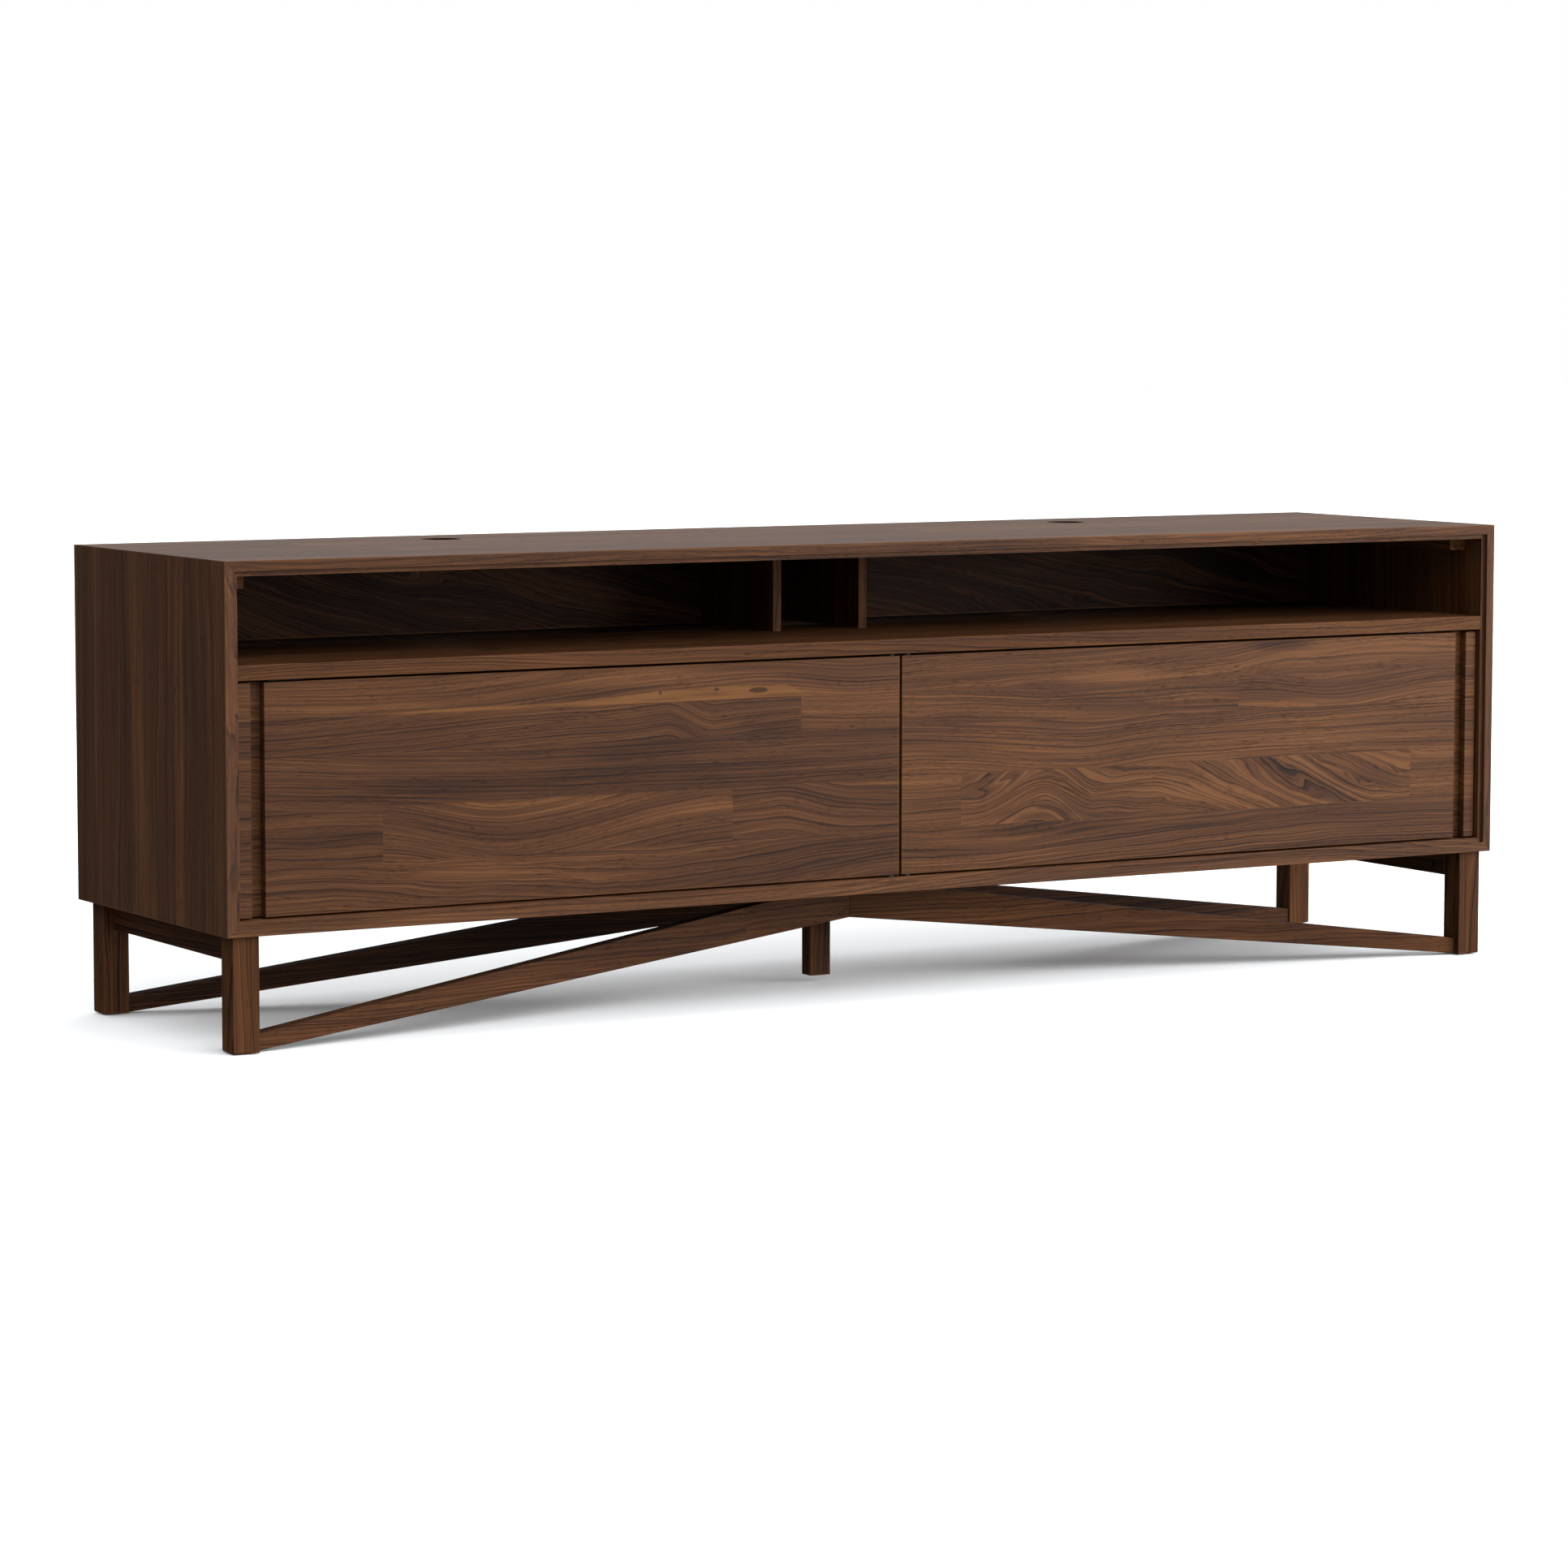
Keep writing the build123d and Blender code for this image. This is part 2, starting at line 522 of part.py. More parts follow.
# ---------------------------------------------------------------- magnetic catches on the shelf
for name, side in SIDES.items():
    with BuildPart() as catch_body:
        block((side * (CATCH_X - CATCH_W / 2), side * (CATCH_X + CATCH_W / 2)),
              (CATCH_FRONT, CATCH_REAR), (SHELF_LOW - CATCH_H, SHELF_LOW))
        fillet(catch_body.edges().filter_by(Axis.Z), CATCH_ROUND)
        block((side * (CATCH_X - MAGNET_W / 2), side * (CATCH_X + MAGNET_W / 2)),
              (CATCH_FRONT - OVERCUT, CATCH_FRONT + MAGNET_L),
              (MAGNET_Z - MAGNET_H / 2, MAGNET_Z + MAGNET_H / 2), Mode.SUBTRACT)
        for x in (CATCH_X - CATCH_SCREW_X, CATCH_X + CATCH_SCREW_X):
            rod((side * x, CATCH_REAR - CATCH_SCREW_BACK, SHELF_LOW - CATCH_H - OVERCUT),
                (0, 0, 1), SCREW_R, CATCH_H + 2 * OVERCUT, Mode.SUBTRACT)
    save(catch_body.part, f"{name}_catch_body")

with BuildPart() as catch_magnets:
    for side in SIDES.values():
        block((side * (CATCH_X - MAGNET_W / 2), side * (CATCH_X + MAGNET_W / 2)),
              (CATCH_FRONT, CATCH_FRONT + MAGNET_L),
              (MAGNET_Z - MAGNET_H / 2, MAGNET_Z + MAGNET_H / 2))
save(catch_magnets.part, "catch_magnets")

with BuildPart() as catch_screws:
    for side in SIDES.values():
        for x in (CATCH_X - CATCH_SCREW_X, CATCH_X + CATCH_SCREW_X):
            start = (side * x, CATCH_REAR - CATCH_SCREW_BACK, SHELF_LOW - CATCH_H)
            rod(start, (0, 0, 1), SCREW_R, CATCH_H + CATCH_SCREW_IN)
            rod(start, (0, 0, -1), SCREW_HEAD_R, CATCH_SCREW_HEAD_H)
    head_rims = catch_screws.edges().filter_by(GeomType.CIRCLE).group_by(Axis.Z)[0]
    fillet(head_rims, CATCH_SCREW_DOME)
    for side in SIDES.values():
        for x in (CATCH_X - CATCH_SCREW_X, CATCH_X + CATCH_SCREW_X):
            head_face = SHELF_LOW - CATCH_H - CATCH_SCREW_HEAD_H
            cross_recess((side * x, CATCH_REAR - CATCH_SCREW_BACK, head_face), (0, 0, 1))
save(catch_screws.part, "catch_screws")


# ---------------------------------------------------------------- base: legs, rails and braces
def base_y(end, from_outside):
    """A place along the depth of the base, measured in from its front or rear outside."""
    return BASE_MID_Y - end * (BASE_D / 2 - from_outside)


for name, side in SIDES.items():
    for end_name, end in ENDS.items():
        show, hide = base_y(end, 0.0), base_y(end, LEG_Y)
        seam_show = (side * (LEG_OUT_X - SEAM_SHOW), show)
        seam_hide = (side * (LEG_OUT_X - SEAM_HIDE), hide)
        outer_plan = [(side * LEG_OUT_X, show), seam_show, seam_hide, (side * LEG_OUT_X, hide)]
        inner_plan = [seam_show, (side * LEG_IN_X, show), (side * LEG_IN_X, hide), seam_hide]
        corner = f"{end_name}_{name}_leg"

        with BuildPart() as outer_post:
            prism_xy(outer_plan, (GLIDE_H, CASE_Z))
            fillet(upright_edges(outer_post, LEG_OUT_X), LEG_ARRIS)
            seams = outer_post.edges().filter_by(Axis.Z).sort_by(lambda e: abs(e.center().X))[:2]
            chamfer(seams, SEAM_ARRIS)
            foot_edges = outer_post.faces().sort_by(Axis.Z)[0].edges().filter_by(Axis.Y)
            chamfer(foot_edges.sort_by(lambda e: -abs(e.center().X))[0], LEG_ARRIS)
        save(outer_post.part, f"{corner}_outer_post")

        with BuildPart() as inner_post:
            prism_xy(inner_plan, (GLIDE_H, CASE_Z))
            fillet(upright_edges(inner_post, LEG_IN_X), LEG_ARRIS)
            seams = inner_post.edges().filter_by(Axis.Z).sort_by(lambda e: -abs(e.center().X))[:2]
            chamfer(seams, SEAM_ARRIS)
        save(inner_post.part, f"{corner}_inner_post")

        leg_y, apex_y = base_y(end, BRACE_LEG_INSET), base_y(end, BRACE_APEX_INSET)
        plan = [(side * LEG_IN_X, leg_y), (0, apex_y), (0, apex_y + end * BRACE_DEEP),
                (side * LEG_IN_X, leg_y + end * BRACE_DEEP)]
        with BuildPart() as brace:
            prism_xz([(side * LEG_IN_X, BRACE_LOW[0]), (side * LEG_IN_X, BRACE_HIGH[0]),
                      (0, BRACE_HIGH[1]), (0, BRACE_LOW[1])], (FRONT, REAR))
            prism_xy(plan, (0, CASE_Z + OVERCUT), Mode.INTERSECT)
            runs = brace.edges().filter_by(lambda e: e.length > LEG_IN_X / 2)
            fillet(runs.group_by(Axis.Z)[0], ARRIS)
        save(brace.part, f"{end_name}_{name}_brace")

    with BuildPart() as side_rail:
        block((side * LEG_IN_X, side * (LEG_IN_X + RAIL_T)),
              (LEG_BACK, base_y(-1, LEG_Y)), (CASE_Z - RAIL_H, CASE_Z))
        fillet(side_rail.edges().filter_by(Axis.Y).group_by(Axis.Z)[0], ARRIS)
        for y in BOLT_Y:
            rod((side * BOLT_X, y, NUT_Z), (0, 0, 1), BOLT_R + BOLT_CLEAR,
                CASE_Z + OVERCUT - NUT_Z, Mode.SUBTRACT)
            rod((side * (LEG_IN_X - OVERCUT), y, NUT_Z), (side, 0, 0), NUT_R,
                OVERCUT + NUT_SUNK + NUT_L + NUT_END_ROOM, Mode.SUBTRACT)
    save(side_rail.part, f"{name}_side_rail")

apex_front = base_y(1, BRACE_APEX_INSET) + BRACE_DEEP
apex_rear = base_y(-1, BRACE_APEX_INSET) - BRACE_DEEP
flare = CROSS_W / 2 * tan(BRACE_TURN)

with BuildPart() as centre_block:
    half = CROSS_W / 2
    prism_xy([(0, apex_front), (half, apex_front - flare), (half, apex_rear + flare),
              (0, apex_rear), (-half, apex_rear + flare), (-half, apex_front - flare)],
             (BRACE_LOW[1], CASE_Z))
save(centre_block.part, "centre_block")

with BuildPart() as centre_leg:
    block((-CENTRE_LEG_X / 2, CENTRE_LEG_X / 2),
          (BASE_MID_Y - CENTRE_LEG_Y / 2, BASE_MID_Y + CENTRE_LEG_Y / 2),
          (CENTRE_LEG_Z, BRACE_LOW[1]))
    fillet(centre_leg.edges().filter_by(Axis.Z), LEG_ARRIS)
    chamfer(centre_leg.faces().sort_by(Axis.Z)[0].edges(), ARRIS)
save(centre_leg.part, "centre_leg")

with BuildPart() as base_bolts:
    for side in SIDES.values():
        for y in BOLT_Y:
            x = side * BOLT_X
            rod((x, y, FLOOR_IN - BOLT_HEAD_H), (0, 0, 1), BOLT_HEAD_R, BOLT_HEAD_H)
            rod((x, y, FLOOR_IN), (0, 0, -1), BOLT_R, FLOOR_IN - NUT_Z)
            with BuildSketch(Plane(origin=(x, y, FLOOR_IN), z_dir=(0, 0, -1))) as socket:
                RegularPolygon(BOLT_SOCKET_R, 6)
            extrude(socket.sketch, amount=BOLT_SOCKET_DEEP, mode=Mode.SUBTRACT)
save(base_bolts.part, "base_bolts")

with BuildPart() as barrel_nuts:
    for side in SIDES.values():
        for y in BOLT_Y:
            end_x = LEG_IN_X + NUT_SUNK
            rod((side * end_x, y, NUT_Z), (side, 0, 0), NUT_R, NUT_L)
            block((side * (end_x - OVERCUT), side * (end_x + NUT_SLOT_DEEP)),
                  (y - NUT_R, y + NUT_R), (NUT_Z - NUT_SLOT_T / 2, NUT_Z + NUT_SLOT_T / 2),
                  Mode.SUBTRACT)
            rod((side * BOLT_X, y, NUT_Z), (0, 0, 1), BOLT_R, NUT_R + OVERCUT, Mode.SUBTRACT)
save(barrel_nuts.part, "barrel_nuts")

for name, side in SIDES.items():
    for end_name, end in ENDS.items():
        foot_x = side * (LEG_IN_X + LEG_X / 2)
        foot_y = base_y(end, LEG_Y / 2)
        with BuildPart() as glide:
            rod((foot_x, foot_y, 0), (0, 0, 1), GLIDE_R, GLIDE_H)
        save(glide.part, f"{end_name}_{name}_glide")
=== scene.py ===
"""The look of the walnut media cabinet: wood, hardware, floor, light and camera.

Metres. +Z is up, the front faces -Y, and the origin is on the floor under the middle of the case.
The CAD nodes keep their shapes, and each gets a material worked out from its own position.
"""
import bpy
import math
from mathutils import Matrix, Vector


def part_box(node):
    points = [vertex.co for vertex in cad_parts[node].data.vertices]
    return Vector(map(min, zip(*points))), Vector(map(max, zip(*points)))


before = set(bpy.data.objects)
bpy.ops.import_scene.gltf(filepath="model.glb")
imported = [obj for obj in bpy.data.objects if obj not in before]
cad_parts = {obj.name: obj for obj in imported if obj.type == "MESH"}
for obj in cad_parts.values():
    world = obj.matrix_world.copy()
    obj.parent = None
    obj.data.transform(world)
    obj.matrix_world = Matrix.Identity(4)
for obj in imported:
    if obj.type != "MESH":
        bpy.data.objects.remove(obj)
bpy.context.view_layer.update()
SCENE = bpy.context.scene
X, Y, Z = Vector((1, 0, 0)), Vector((0, 1, 0)), Vector((0, 0, 1))

# ---------------------------------------------------------------- camera
CAMERA_PLACE = (-3.3187, -5.5446, 0.8826)
CAMERA_TURN = 30.558       # degrees from straight ahead towards +X
CAMERA_DIP = 5.563         # degrees below the horizon
CAMERA_ROLL = 0.056        # degrees, its right side up
CAMERA_LENS = 117.17       # mm
SENSOR = 36.0              # mm
CAMERA_REACH = 200.0

# ---------------------------------------------------------------- walnut colours, linear
WALNUT_DARK = (0.0085, 0.0034, 0.0021)
WALNUT_DEEP = (0.0220, 0.0088, 0.0044)
WALNUT_MID = (0.0450, 0.0175, 0.0070)
WALNUT_WARM = (0.0660, 0.0262, 0.0100)
WALNUT_PALE = (0.1120, 0.0455, 0.0165)
SAPWOOD = (0.1250, 0.0520, 0.0155)
# painted shade for the walls inside the cable holes
BORE_SHADE_BLACK = (0.0020, 0.0012, 0.0010)

# ---------------------------------------------------------------- walnut figure
# Metres the figure moves sideways: slow waves, curls and crinkles where it swirls, a fine shake.
WAVE, CURL, CRINKLE, SHAKE = 0.085, 0.075, 0.024, 0.0018
RINGS_ACROSS = 215.0       # ring lines per metre across the grain
RINGS_INTO = 60.0          # and per metre into the board
RING_SLANT = 0.02          # metres that the rings sink per metre along the board
RING_UNEVEN = 5.0          # rings by which their spacing wanders
# A ring from its pale start to its dark end.
RING_SHAPE = ((0.0, 0.0), (0.45, 0.12), (0.80, 0.55), (0.93, 1.0), (1.0, 0.0))
RING_FAINTEST = 0.12
# How far each layer of the figure shifts the wood between dark, 0, and pale, 1.
BASE_LEVEL = 0.58
BROAD_STREAKS, NARROW_STREAKS, FIBRE, CLOUD, RING_DARK = 0.80, 1.15, 0.60, 0.35, 0.62
PLAIN_CONTRAST, SWIRL_CONTRAST = 0.9, 0.45
PALE_ORDER = ((0.0, WALNUT_DARK), (0.22, WALNUT_DEEP), (0.48, WALNUT_MID), (0.72, WALNUT_WARM),
              (1.0, WALNUT_PALE))
PORE_DASH, PORE_PATCH, PORE_DARK = (0.62, 0.72), (0.35, 0.6), 0.55
WOOD_ROUGH = 0.54
STREAK_ROUGH, PORE_ROUGH = 0.16, 0.2
FIBRE_RELIEF, PORE_RELIEF = 0.5, 0.9
STAVE_SHIFT = (9.0, 5.0, 3.0)     # metres of figure between one stave and another
STAVE_START = 0.013               # metres by which each seed moves the staves' edges
# Handling wear on the edges: where it starts, its widest reach, its strength and its polish.
WEAR_EDGE, WEAR_REACH, WEAR_PALE, WEAR_POLISH = 0.0004, 0.0046, 0.30, 0.07
CABLE_HOLES = ((-0.465, 0.126, 0.025), (0.465, 0.126, 0.025))     # X, Y and radius, in the top
BORE_SHADE_RIM = (1.0, 1.02)            # where the painted shade inside the holes ends, in radii
GLUE_HALF, GLUE_DARK = 0.0009, 0.8
WHOLE = 1.0                       # a stave wide enough to leave a piece in one
SAWN_TILT = (0.5, 0.9)            # how far up a face must look to be left sawn and dull


# ---------------------------------------------------------------- node building
class Tree:
    """Adds nodes to a node tree and joins them. An input takes a socket or a plain value."""

    def __init__(self, tree):
        self.tree = tree

    def put(self, socket, value):
        if isinstance(value, bpy.types.NodeSocket):
            self.tree.links.new(value, socket)
        elif value is not None:
            socket.default_value = value

    def node(self, kind, inputs=None, **settings):
        made = self.tree.nodes.new(kind)
        for name, value in settings.items():
            setattr(made, name, value)
        for key, value in (inputs or {}).items():
            self.put(made.inputs[key], value)
        return made

    def math(self, operation, a, b=None, c=None):
        return self.node("ShaderNodeMath", {0: a, 1: b, 2: c}, operation=operation).outputs[0]

    def vector(self, operation, a, b=None):
        made = self.node("ShaderNodeVectorMath", {0: a, 1: b}, operation=operation)
        return made.outputs["Value" if operation == "DOT_PRODUCT" else "Vector"]

    def split(self, vector):
        return self.node("ShaderNodeSeparateXYZ", {0: vector}).outputs

    def join(self, x, y, z):
        return self.node("ShaderNodeCombineXYZ", {0: x, 1: y, 2: z}).outputs[0]

    def place(self):
        """The place on the object, which for every CAD node at rest is its place in the frame."""
        return self.node("ShaderNodeTexCoord").outputs["Object"]

    def noise(self, vector, scale=1.0, detail=2.0, rough=0.5):
        """Noise from 0 to 1, with 0.5 as its middle."""
        inputs = {"Vector": vector, "Scale": scale, "Detail": detail, "Roughness": rough}
        return self.node("ShaderNodeTexNoise", inputs).outputs["Fac"]

    def swing(self, value, amount):
        """A value from 0 to 1 as a swing of half the amount to either side of 0."""
        return self.math("MULTIPLY", self.math("SUBTRACT", value, 0.5), amount)

    def random(self, vector):
        """A random colour and value for each whole-numbered place."""
        return self.node("ShaderNodeTexWhiteNoise", {"Vector": vector}).outputs

    def ramp(self, factor, stops, interpolation="LINEAR"):
        made = self.node("ShaderNodeValToRGB", {0: factor})
        made.color_ramp.interpolation = interpolation
        points = made.color_ramp.elements
        while len(points) < len(stops):
            points.new(1.0)
        for point, (place, colour) in zip(points, stops):
            point.position = place
            level = colour if isinstance(colour, tuple) else (colour,) * 3
            point.color = (*level, 1.0)
        return made.outputs[0]

    def span(self, value, low, high, to_low=0.0, to_high=1.0, smooth=True):
        """Maps low..high to to_low..to_high and holds it there outside."""
        kind = "SMOOTHSTEP" if smooth else "LINEAR"
        made = self.node("ShaderNodeMapRange", {0: value, 1: low, 2: high, 3: to_low, 4: to_high},
                         interpolation_type=kind)
        return made.outputs[0]

    def mix(self, factor, a, b, blend="MIX"):
        made = self.node("ShaderNodeMix", data_type="RGBA", blend_type=blend)
        colours = [s for s in made.inputs if s.type == "RGBA"]
        self.put(made.inputs["Factor"], factor)
        self.put(colours[0], (*a, 1.0) if isinstance(a, tuple) else a)
        self.put(colours[1], (*b, 1.0) if isinstance(b, tuple) else b)
        return next(s for s in made.outputs if s.type == "RGBA")


def new_material(name):
    made = bpy.data.materials.new(name)
    made.use_nodes = True
    made.node_tree.nodes.clear()
    return made, Tree(made.node_tree)


def finish_material(t, inputs, height=None, bump_depth=0.0001, bump_strength=0.5):
    """The surface shader, bumped by a height of 0 to 1 that stands for bump_depth metres."""
    if height is not None:
        bump = t.node("ShaderNodeBump", {"Height": height, "Distance": bump_depth,
                                         "Strength": bump_strength})
        inputs = dict(inputs, Normal=bump.outputs[0])
    shader = t.node("ShaderNodeBsdfPrincipled", inputs)
    t.node("ShaderNodeOutputMaterial", {"Surface": shader.outputs[0]})


def dress(node, material):
    """Gives a CAD node its material, in the object's own slots."""
    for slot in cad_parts[node].material_slots:
        slot.link = "OBJECT"
        slot.material = material


# ---------------------------------------------------------------- walnut
def walnut_group():
    """Solid walnut in grain space: x along the grain, y across it and z into it, in metres.

    Swirl is how strongly the figure waves, Lines how dark the ring lines are, and Tone shifts the
    wood from dark to pale.
    """
    group = bpy.data.node_groups.new("walnut", "ShaderNodeTree")
    face = group.interface
    face.new_socket("Grain", in_out="INPUT", socket_type="NodeSocketVector")
    for name in ("Swirl", "Lines", "Tone"):
        face.new_socket(name, in_out="INPUT", socket_type="NodeSocketFloat")
    face.new_socket("Color", in_out="OUTPUT", socket_type="NodeSocketColor")
    face.new_socket("Roughness", in_out="OUTPUT", socket_type="NodeSocketFloat")
    face.new_socket("Height", in_out="OUTPUT", socket_type="NodeSocketFloat")
    t = Tree(group)
    given = t.node("NodeGroupInput").outputs
    grain, swirl, lines, tone = given["Grain"], given["Swirl"], given["Lines"], given["Tone"]

    def stretched(along, across):
        """Grain space for noise, by its swings per metre along and across the grain."""
        return t.vector("MULTIPLY", grain, (along, across, across))

    # The figure: slow waves along the board, and quicker ones where it swirls.
    wave = t.swing(t.noise(stretched(1.1, 4.0), detail=1.0), WAVE)
    curl = t.swing(t.noise(stretched(3.6, 13.0), detail=1.5, rough=0.4),
                   t.math("MULTIPLY", swirl, CURL))
    shake = t.swing(t.noise(stretched(15.0, 80.0), detail=1.0), SHAKE)
    crinkle = t.swing(t.noise(stretched(10.0, 36.0), detail=1.5),
                      t.math("MULTIPLY", swirl, CRINKLE))
    along, across, into = t.split(grain)
    height = t.math("ADD", t.math("ADD", across, wave), t.math("ADD", curl, shake))
    height = t.math("ADD", height, crinkle)
    flow = t.join(along, height, into)

    # Ring lines, cut at a slant: their spacing changes slowly across the board.
    depth = t.math("ADD", into, t.math("MULTIPLY", along, RING_SLANT))
    ring = t.math("ADD", t.math("MULTIPLY", height, RINGS_ACROSS),
                  t.math("MULTIPLY", depth, RINGS_INTO))
    uneven = t.noise(t.vector("MULTIPLY", flow, (0.8, 30.0, 1.0)))
    ring = t.math("ADD", ring, t.math("MULTIPLY", uneven, RING_UNEVEN))
    line = t.ramp(t.math("FRACT", ring), RING_SHAPE)
    # Each ring has its own strength.
    strength = t.random(t.join(t.math("FLOOR", ring), 3.0, 5.0))["Value"]
    line = t.math("MULTIPLY", line, t.span(strength, 0.0, 1.0, RING_FAINTEST, 1.0, smooth=False))

    # Long streaks that follow the figure, broad ones first.
    broad = t.noise(t.vector("MULTIPLY", flow, (0.9, 26.0, 14.0)))
    narrow = t.noise(t.vector("MULTIPLY", flow, (2.4, 210.0, 90.0)), detail=3.0, rough=0.65)
    fibre = t.noise(t.vector("MULTIPLY", flow, (14.0, 900.0, 500.0)), rough=0.6)
    cloud = t.noise(stretched(3.0, 9.0))
    streaks = t.math("ADD", t.swing(broad, BROAD_STREAKS), t.swing(narrow, NARROW_STREAKS))
    contrast = t.math("ADD", PLAIN_CONTRAST, t.math("MULTIPLY", swirl, SWIRL_CONTRAST))
    level = t.math("ADD", BASE_LEVEL, tone)
    level = t.math("ADD", level, t.math("MULTIPLY", streaks, contrast))
    level = t.math("ADD", level, t.swing(fibre, FIBRE))
    level = t.math("ADD", level, t.swing(cloud, CLOUD))
    line = t.math("MULTIPLY", line, t.math("MULTIPLY", lines, RING_DARK))
    level = t.math("SUBTRACT", level, line)
    colour = t.ramp(level, PALE_ORDER)

    # Open pores: short dark dashes along the grain, sunk into the surface.
    dash = t.noise(t.vector("MULTIPLY", flow, (85.0, 1500.0, 1500.0)), detail=0.0)
    patch = t.noise(stretched(9.0, 60.0), detail=1.0)
    pore = t.math("MULTIPLY", t.span(dash, *PORE_DASH), t.span(patch, *PORE_PATCH))
    colour = t.mix(t.math("MULTIPLY", pore, PORE_DARK), colour, WALNUT_DARK)

    rough = t.math("ADD", WOOD_ROUGH, t.swing(narrow, STREAK_ROUGH))
    rough = t.math("ADD", rough, t.math("MULTIPLY", pore, PORE_ROUGH))
    relief = t.math("SUBTRACT", t.math("MULTIPLY", fibre, FIBRE_RELIEF),
                    t.math("MULTIPLY", pore, PORE_RELIEF))
    t.node("NodeGroupOutput", {"Color": colour, "Roughness": rough, "Height": relief})
    return group


WALNUT = walnut_group()


def grain_space(t, along, across):
    """The place on the object as distances along the grain, across it and into it."""
    along, across = along.normalized(), across.normalized()
    place = t.place()
    into = along.cross(across)
    return [t.vector("DOT_PRODUCT", place, tuple(axis)) for axis in (along, across, into)]


def even_staves(t, along, across, width, length, seed):
    """A number for each stave of a glued-up board with staves of one width and staggered ends."""
    start = t.math("ADD", across, seed * STAVE_START)
    row = t.math("FLOOR", t.math("DIVIDE", start, width))
    shift = t.random(t.join(row, float(seed), 1.0))["Value"]
    column = t.math("FLOOR", t.math("ADD", t.math("DIVIDE", along, length), shift))
    return t.join(row, column, float(seed))


def walnut_surface(t, along, across, into, stave, swirl, lines, tone, spread):
    """Wood of one stave: the figure is shifted by the stave's number, so that no two match."""
    chance = t.random(stave)
    shift = t.vector("MULTIPLY", chance["Color"], STAVE_SHIFT)
    grain = t.vector("ADD", t.join(along, across, into), shift)
    cast = t.math("ADD", tone, t.span(chance["Value"], 0.0, 1.0, -spread, spread, smooth=False))
    made = t.node("ShaderNodeGroup", node_tree=WALNUT)
    for name, value in (("Grain", grain), ("Swirl", swirl), ("Lines", lines), ("Tone", cast)):
        t.put(made.inputs[name], value)
    return made.outputs["Color"], made.outputs["Roughness"], made.outputs["Height"]


def rubbed_edges(t, node, colour, rough):
    """Handling wear: a thin paler and smoother band along the edges of the node's own box."""
    low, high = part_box(node)
    place = t.place()
    centre, half = (low + high) / 2, (high - low) / 2
    offset = t.vector("ABSOLUTE", t.vector("SUBTRACT", place, tuple(centre)))
    a, b, c = t.split(t.vector("SUBTRACT", tuple(half), offset))
    nearest = t.math("MINIMUM", t.math("MAXIMUM", a, b),
                     t.math("MAXIMUM", t.math("MINIMUM", a, b), c))
    reach = t.math("MULTIPLY", t.noise(place, 55.0, 3.0), WEAR_REACH)
    worn = t.math("SUBTRACT", 1.0, t.span(nearest, WEAR_EDGE, reach))
    colour = t.mix(t.math("MULTIPLY", worn, WEAR_PALE), colour, WALNUT_PALE)
    rough = t.math("SUBTRACT", rough, t.math("MULTIPLY", worn, WEAR_POLISH))
    return colour, rough


def distance_from(t, a, b, ellipse):
    """0 in the middle of an ellipse in the plane of a and b, and 1 at its edge."""
    a_mid, b_mid, half_a, half_b = ellipse
    aside = t.math("DIVIDE", t.math("SUBTRACT", a, a_mid), half_a)
    above = t.math("DIVIDE", t.math("SUBTRACT", b, b_mid), half_b)
    square = t.math("MULTIPLY_ADD", aside, aside, t.math("MULTIPLY", above, above))
    return t.math("SQRT", square)


def painted_bore_shade(t, holes, colour):
    """Painted shade: near-black on the walls inside upright holes, each given as X, Y and radius.
    """
    x, y, _ = t.split(t.place())
    for x_mid, y_mid, radius in holes:
        away = distance_from(t, x, y, (x_mid, y_mid, radius, radius))
        colour = t.mix(t.span(away, *BORE_SHADE_RIM, 1.0, 0.0), colour, BORE_SHADE_BLACK)
    return colour


def glue_line(t, colour):
    """A dark line where two pieces meet on the middle plane, across X."""
    away = t.math("ABSOLUTE", t.split(t.place())["X"])
    return t.mix(t.span(away, GLUE_HALF / 2, GLUE_HALF, GLUE_DARK, 0.0), colour, WALNUT_DARK)


def walnut(node, along, across, seed, width=0.062, length=4.0, swirl=0.35, lines=1.0, tone=0.0,
           spread=0.08, gloss=0.10, holes=(), glued=False, dull_top=False):
    """A glued-up walnut board with its grain along one direction and its staves side by side."""
    material, t = new_material("walnut_" + node)
    a, b, c = grain_space(t, along, across)
    stave = even_staves(t, a, b, width, length, seed)
    colour, rough, height = walnut_surface(t, a, b, c, stave, swirl, lines, tone, spread)
    colour, rough = rubbed_edges(t, node, colour, rough)
    # painted shade: the walls inside the holes are made near-black
    if holes:
        colour = painted_bore_shade(t, holes, colour)
    if glued:
        colour = glue_line(t, colour)
    if dull_top:
        up = t.split(t.node("ShaderNodeNewGeometry").outputs["Normal"])["Z"]
        rough = t.math("MAXIMUM", rough, t.span(up, *SAWN_TILT))
    finish_material(t, {"Base Color": colour, "Roughness": rough, "Specular IOR Level": gloss},
                    height)
    dress(node, material)


# ---------------------------------------------------------------- the doors' own staves
DOOR_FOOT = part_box("left_door_panel")[0].z
END = 9.0                  # beyond the doors
